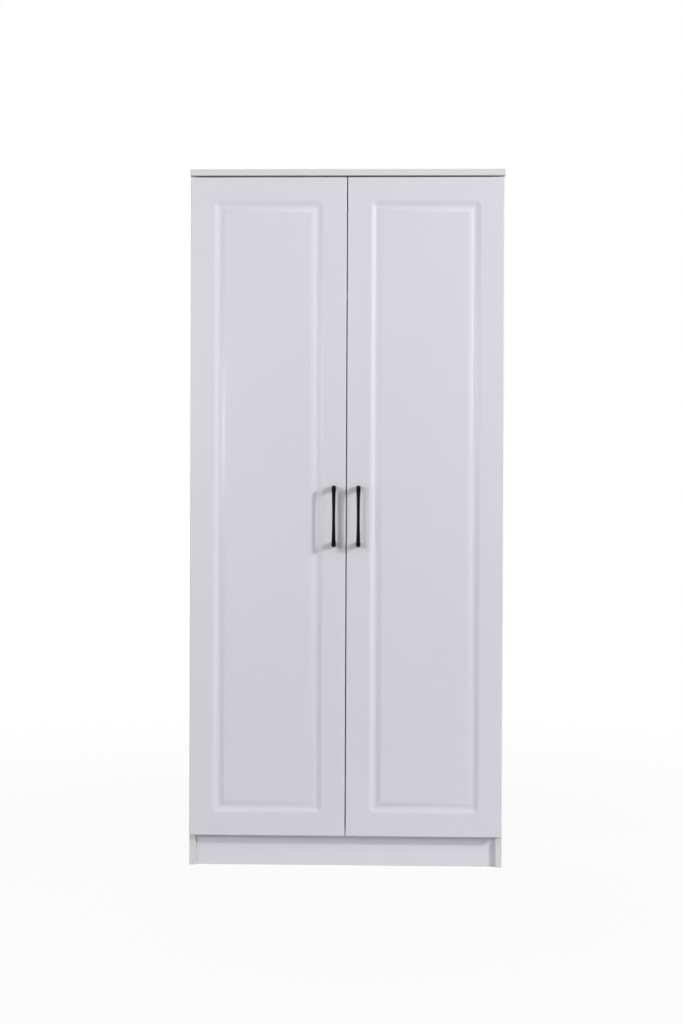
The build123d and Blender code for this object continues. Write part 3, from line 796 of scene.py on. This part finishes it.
def panel_tree():
    """Sweeps the mesh's points, in order, round a rectangle as closed rings joined into one skin.

    Outside the rectangle a ring's corners are round, as the cutter leaves them; inside they mitre.
    """
    tree, given = start_tree(
        "swept_panel",
        Path_Width="Float",
        Path_Height="Float",
        Corner_Steps="Int",
        Centre="Vector",
        Bore_Radius="Float",
        Bore_Depth="Float",
        Bore_Count="Int",
        Bore_Spacing="Float",
        First_Bore="Vector",
        Material="Material",
    )

    def calc(operation, *terms):
        """Output of one math node; a term is a number or another output."""
        numbers = {i: t for i, t in enumerate(terms) if isinstance(t, (int, float))}
        sources = {i: t for i, t in enumerate(terms) if not isinstance(t, (int, float))}
        return add_node(tree, "ShaderNodeMath", {"operation": operation, **numbers}, sources).outputs[0]

    size = add_node(tree, "GeometryNodeAttributeDomainSize", links={"Geometry": given["Geometry"]})
    rings = size.outputs["Point Count"]
    around = calc("MULTIPLY", given["Corner Steps"], 4.0)
    sheet = add_node(
        tree,
        "GeometryNodeMeshGrid",
        links={"Vertices X": calc("ADD", around, 1.0), "Vertices Y": rings},
    )
    index = add_node(tree, "GeometryNodeInputIndex").outputs[0]
    ring = calc("MODULO", index, rings)
    step = calc("MODULO", calc("FLOOR", calc("DIVIDE", index, rings)), around)
    corner = calc("FLOOR", calc("DIVIDE", step, given["Corner Steps"]))
    last = calc("SUBTRACT", given["Corner Steps"], 1.0)
    along = calc("DIVIDE", calc("MODULO", step, given["Corner Steps"]), last)
    turn = calc("MULTIPLY", calc("ADD", corner, along), math.pi / 2)
    quarter = calc("MULTIPLY", calc("ADD", corner, 0.5), math.pi / 2)
    place = add_node(tree, "GeometryNodeInputPosition").outputs[0]
    point = add_node(
        tree,
        "GeometryNodeSampleIndex",
        {"data_type": "FLOAT_VECTOR"},
        {"Geometry": given["Geometry"], "Value": place, "Index": ring},
    )
    section = add_node(tree, "ShaderNodeSeparateXYZ", links={0: point.outputs[0]}).outputs
    reach, depth, round_off = section[0], section[1], section[2]
    sides = []
    for length, way in ((given["Path Width"], "COSINE"), (given["Path Height"], "SINE")):
        straight = calc("SUBTRACT", calc("ADD", calc("MULTIPLY", length, 0.5), reach), round_off)
        to_corner = calc("MULTIPLY", calc("SIGN", calc(way, quarter)), straight)
        sides.append(calc("ADD", to_corner, calc("MULTIPLY", calc(way, turn), round_off)))
    flat = add_node(tree, "ShaderNodeCombineXYZ", links={"X": sides[0], "Y": depth, "Z": sides[1]})
    moved = add_node(
        tree,
        "ShaderNodeVectorMath",
        {"operation": "ADD"},
        {0: flat.outputs[0], 1: given["Centre"]},
    )
    shaped = add_node(
        tree,
        "GeometryNodeSetPosition",
        links={"Geometry": sheet.outputs["Mesh"], "Position": moved.outputs[0]},
    )
    skin = add_node(
        tree,
        "GeometryNodeMergeByDistance",
        {"Distance": 0.00001},
        {"Geometry": shaped.outputs[0]},
    )
    cutter = add_node(
        tree,
        "GeometryNodeMeshCylinder",
        {"Vertices": 64},
        {"Radius": given["Bore Radius"], "Depth": calc("MULTIPLY", given["Bore Depth"], 2.0)},
    )
    lying = add_node(
        tree,
        "GeometryNodeTransform",
        {"Rotation": (math.radians(90), 0, 0)},
        {"Geometry": cutter.outputs["Mesh"]},
    )
    row = add_node(
        tree,
        "GeometryNodeMeshLine",
        links={
            "Count": given["Bore Count"],
            "Start Location": given["First Bore"],
            "Offset": add_node(
                tree, "ShaderNodeCombineXYZ", links={"Z": given["Bore Spacing"]}
            ).outputs[0],
        },
    )
    cutters = add_node(
        tree,
        "GeometryNodeInstanceOnPoints",
        links={"Points": row.outputs[0], "Instance": lying.outputs[0]},
    )
    bored = add_node(
        tree,
        "GeometryNodeMeshBoolean",
        {"operation": "DIFFERENCE"},
        {"Mesh 1": skin.outputs[0], "Mesh 2": cutters.outputs[0]},
    )
    end_tree(tree, bored.outputs["Mesh"], given["Material"])
    return tree


def drawn_foil():
    """Satin vinyl foil: cool white, rippled where it was drawn down, so long highlights waver.

    The ripple is about 6 mm across; the finer orange peel is drawn at 2 mm.
    """
    material, tree, shader = start_material(
        "satin_vinyl_foil_white", IOR=1.52, Coat_Weight=0.15, Coat_Roughness=0.25
    )
    place = add_node(tree, "ShaderNodeTexCoord")
    cloud = add_node(
        tree,
        "ShaderNodeTexNoise",
        {"Scale": 2.2, "Detail": 4.0, "Roughness": 0.5},
        {"Vector": place.outputs["Object"]},
    )
    tint = add_node(
        tree,
        "ShaderNodeMix",
        {"data_type": "RGBA", 6: linear("#E4E2EA"), 7: linear("#E8E6ED")},
        {"Factor": cloud.outputs["Fac"]},
    )
    ripple = add_node(
        tree,
        "ShaderNodeTexNoise",
        {"Scale": 160.0, "Detail": 1.0},
        {"Vector": place.outputs["Object"]},
    )
    peel = add_node(
        tree,
        "ShaderNodeTexNoise",
        {"Scale": 500.0, "Detail": 1.0},
        {"Vector": place.outputs["Object"]},
    )
    gloss = add_node(
        tree,
        "ShaderNodeMapRange",
        {"To Min": 0.33, "To Max": 0.43},
        {"Value": peel.outputs["Fac"]},
    )
    height = add_node(
        tree,
        "ShaderNodeMath",
        {"operation": "MULTIPLY_ADD", 1: 0.3},
        {0: peel.outputs["Fac"], 2: ripple.outputs["Fac"]},
    )
    bump = add_node(
        tree,
        "ShaderNodeBump",
        {"Strength": 0.4, "Distance": 0.00006},
        {"Height": height.outputs[0]},
    )
    tree.links.new(tint.outputs[2], shader.inputs["Base Color"])
    tree.links.new(gloss.outputs["Result"], shader.inputs["Roughness"])
    tree.links.new(bump.outputs["Normal"], shader.inputs["Normal"])
    return material


foil = drawn_foil()
swept_panel = panel_tree()
CUP_BORE = 0.01755
CUP_BORE_DEPTH = 0.0114
CUP_INSET = 0.0225  # door edge to the middle of a cup
CUP_FLANGE = 0.030  # half the height of a cup's flange
CUPS = 4
BACK_FACE_DEPTH = 0.0003
MELAMINE_BACK = 1  # place of the melamine in a door's list of materials
for side in ("left", "right"):
    low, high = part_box(f"{side}_door")
    width = high.x - low.x
    height = high.z - low.z
    path_width = width - 2 * GROOVE_INSET
    mesh = bpy.data.meshes.new(f"{side}_door_section")
    mesh.from_pydata(door_section(high.y - low.y, path_width / 2), [], [])
    cups_low, cups_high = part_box(f"{side}_hinge_cups")
    bore_x = low.x + CUP_INSET if side == "left" else high.x - CUP_INSET
    first = cups_low.z + CUP_FLANGE
    spacing = (cups_high.z - cups_low.z - 2 * CUP_FLANGE) / (CUPS - 1)
    values = {
        "Path Width": path_width,
        "Path Height": height - 2 * GROOVE_INSET,
        "Corner Steps": 9,
        "Centre": ((low.x + high.x) / 2, low.y, (low.z + high.z) / 2),
        "Bore Radius": CUP_BORE,
        "Bore Depth": CUP_BORE_DEPTH,
        "Bore Count": CUPS,
        "Bore Spacing": spacing,
        "First Bore": (bore_x, high.y, first),
        "Material": foil,
    }
    panel = grown(f"{side}_door_panel", mesh, swept_panel, values)
    panel.data.materials.append(melamine)
    face_edges(panel, [(Y, 1)], MELAMINE_BACK, BACK_FACE_DEPTH)
    stand_for(panel, f"{side}_door")

# ---- handles and their screws ----
# Die-cast bow handles, powder-coated black, each held by two machine screws through the door.


def powder_coat():
    """Black powder coat: deep black, satin, with the coat's low orange peel."""
    material, tree, shader = start_material("powder_coat_black", IOR=1.4)
    place = add_node(tree, "ShaderNodeTexCoord")
    peel = add_node(
        tree,
        "ShaderNodeTexNoise",
        {"Scale": 700.0, "Detail": 2.0},
        {"Vector": place.outputs["Object"]},
    )
    wear = add_node(
        tree,
        "ShaderNodeTexNoise",
        {"Scale": 45.0, "Detail": 3.0},
        {"Vector": place.outputs["Object"]},
    )
    tint = add_node(
        tree,
        "ShaderNodeMix",
        {"data_type": "RGBA", 6: linear("#050506"), 7: linear("#0B0B0D")},
        {"Factor": wear.outputs["Fac"]},
    )
    gloss = add_node(
        tree,
        "ShaderNodeMapRange",
        {"To Min": 0.24, "To Max": 0.36},
        {"Value": wear.outputs["Fac"]},
    )
    bump = add_node(
        tree,
        "ShaderNodeBump",
        {"Strength": 0.4, "Distance": 0.00005},
        {"Height": peel.outputs["Fac"]},
    )
    tree.links.new(tint.outputs[2], shader.inputs["Base Color"])
    tree.links.new(gloss.outputs["Result"], shader.inputs["Roughness"])
    tree.links.new(bump.outputs["Normal"], shader.inputs["Normal"])
    return material


black = powder_coat()
for side in ("left", "right"):
    keep_node(f"{side}_handle", black)
    drive(
        f"{side}_handle_bolts", f"{side}_handle_screws", lambda at: (0, 1, 0),
        zinc_plate, top=3.0, under=4.0, height=2.4, shank=2.0, length=27.0, cross=True, seed=11,
    )

# ---- hinges ----
# Nickel-plated steel: a drawn cup pressed into the door, two riveted links, and an arm clamped to a
# plate that is screwed to the side board.

# Nickel plate over steel or zinc: warm bright grey, lightly brushed by handling.
nickel = plated("nickel_plated_steel", "#D3CEC4", "#B9B4AA", 0.24, 120.0)
for side in ("left", "right"):
    inward = 1 if side == "left" else -1
    for part, arris in (
        ("plates", 0.00025),
        ("arms", 0.00015),
        ("outer_links", 0.00012),
        ("inner_links", 0.00012),
        ("cups", 0.00015),
    ):
        eased(f"{side}_hinge_{part}_eased", f"{side}_hinge_{part}", arris, (nickel,))
    for part in ("arm_pins", "cup_pins", "adjusters"):
        keep_node(f"{side}_hinge_{part}", nickel)
    drive(
        f"{side}_plate_screws", f"{side}_hinge_plate_screws",
        lambda at, inward=inward: (inward, 0, 0), zinc_plate,
        top=3.5, under=1.75, height=2.0, shank=1.75, length=10.0, cross=True, seed=21,
    )
    drive(
        f"{side}_cup_screws", f"{side}_hinge_cup_screws", lambda at: (0, 1, 0),
        zinc_plate, top=3.5, under=1.75, height=2.0, shank=1.75, length=11.0, cross=True, seed=31,
    )

# ---- studio ----
# A pale floor that fades out into a white surround. Two small softboxes, right and left, draw the
# shadows; large ones at both sides, overhead and behind keep them light.

FLOOR_REACH = 3.0
FLOOR_CORNERS = 96
FADE_FROM = 0.7  # radius at which the floor starts to fade
FLOOR_GLOW = 0.93  # how much of the seen floor is plain white light
mesh = bpy.data.meshes.new("floor")
rim = []
for corner in range(FLOOR_CORNERS):
    turn = 2 * math.pi * corner / FLOOR_CORNERS
    rim.append((FLOOR_REACH * math.cos(turn), FLOOR_REACH * math.sin(turn), 0.0))
mesh.from_pydata(rim, [], [tuple(range(FLOOR_CORNERS))])
material, tree, shader = start_material("pale_floor_paper", Roughness=0.9)
place = add_node(tree, "ShaderNodeTexCoord")
mottle = add_node(
    tree,
    "ShaderNodeTexNoise",
    {"Scale": 1.2, "Detail": 2.0},
    {"Vector": place.outputs["Object"]},
)
tint = add_node(
    tree,
    "ShaderNodeMix",
    {"data_type": "RGBA", 6: linear("#C4C4C4"), 7: linear("#CACACA")},
    {"Factor": mottle.outputs["Fac"]},
)
tree.links.new(tint.outputs[2], shader.inputs["Base Color"])
distance = add_node(
    tree, "ShaderNodeVectorMath", {"operation": "LENGTH"}, {0: place.outputs["Object"]}
)
fade = add_node(
    tree,
    "ShaderNodeMapRange",
    {"interpolation_type": "SMOOTHSTEP", "From Min": FADE_FROM, "From Max": FLOOR_REACH},
    {"Value": distance.outputs["Value"]},
)
seen = add_node(tree, "ShaderNodeLightPath")
lift = add_node(
    tree,
    "ShaderNodeMath",
    {"operation": "MULTIPLY", 1: FLOOR_GLOW},
    {0: seen.outputs["Is Camera Ray"]},
)
glow = add_node(tree, "ShaderNodeEmission", {"Strength": 1.0})
lit = add_node(
    tree, "ShaderNodeMixShader", links={0: lift.outputs[0], 1: shader.outputs[0], 2: glow.outputs[0]}
)
clear = add_node(tree, "ShaderNodeBsdfTransparent")
mix = add_node(
    tree,
    "ShaderNodeMixShader",
    links={0: fade.outputs["Result"], 1: lit.outputs[0], 2: clear.outputs[0]},
)
tree.links.new(mix.outputs[0], tree.nodes["Material Output"].inputs["Surface"])
floor = new_piece("floor", mesh, (material,))

SURROUND_LIGHT = 0.14  # what the white surround gives the wardrobe; the camera sees it full white
scene = bpy.context.scene
scene.view_settings.view_transform = "Standard"
world = bpy.data.worlds.new("white_surround")
scene.world = world
world.use_nodes = True
sky = world.node_tree.nodes["Background"]
sky.inputs["Color"].default_value = (1.0, 1.0, 1.0, 1.0)
path = add_node(world.node_tree, "ShaderNodeLightPath")
level = add_node(
    world.node_tree,
    "ShaderNodeMapRange",
    {"To Min": SURROUND_LIGHT, "To Max": 1.0},
    {"Value": path.outputs["Is Camera Ray"]},
)
world.node_tree.links.new(level.outputs["Result"], sky.inputs["Strength"])


def soft_light(name, place, target, width, height, power):
    """A rectangular softbox at a place, facing a target; power in watts."""
    data = bpy.data.lights.new(name, "AREA")
    data.shape = "RECTANGLE"
    data.size = width
    data.size_y = height
    data.energy = power
    lamp = bpy.data.objects.new(name, data)
    lamp.location = place
    lamp.rotation_euler = (Vector(target) - Vector(place)).to_track_quat("-Z", "Y").to_euler()
    scene.collection.objects.link(lamp)
    return lamp


soft_light("key", (4.85, -2.80, 2.79), (0.0, -0.25, 1.0), 0.40, 0.40, 162.0)
soft_light("fill", (-1.85, -3.30, 1.66), (0.0, -0.25, 1.0), 0.60, 0.60, 23.5)
soft_light("overhead", (0.0, -2.5, 3.9), (0.0, -0.25, 1.2), 2.4, 1.2, 16.0)
soft_light("right_wall", (3.40, -2.60, 2.10), (0.0, -0.25, 1.1), 2.2, 2.6, 39.0)
soft_light("left_wall", (-3.20, -2.80, 1.70), (0.0, -0.25, 1.0), 2.2, 2.6, 29.0)
soft_light("behind", (-0.80, 4.00, 2.80), (0.0, 0.28, 1.0), 3.0, 2.4, 120.0)

camera = bpy.data.objects.new("camera", bpy.data.cameras.new("camera"))
camera.data.sensor_width = 36.0
camera.data.lens = 50.5
camera.location = (0.084, -4.354, 1.062)
camera.rotation_euler = (math.radians(90 - 0.574), math.radians(-0.223), math.radians(1.361))
scene.collection.objects.link(camera)
scene.camera = camera
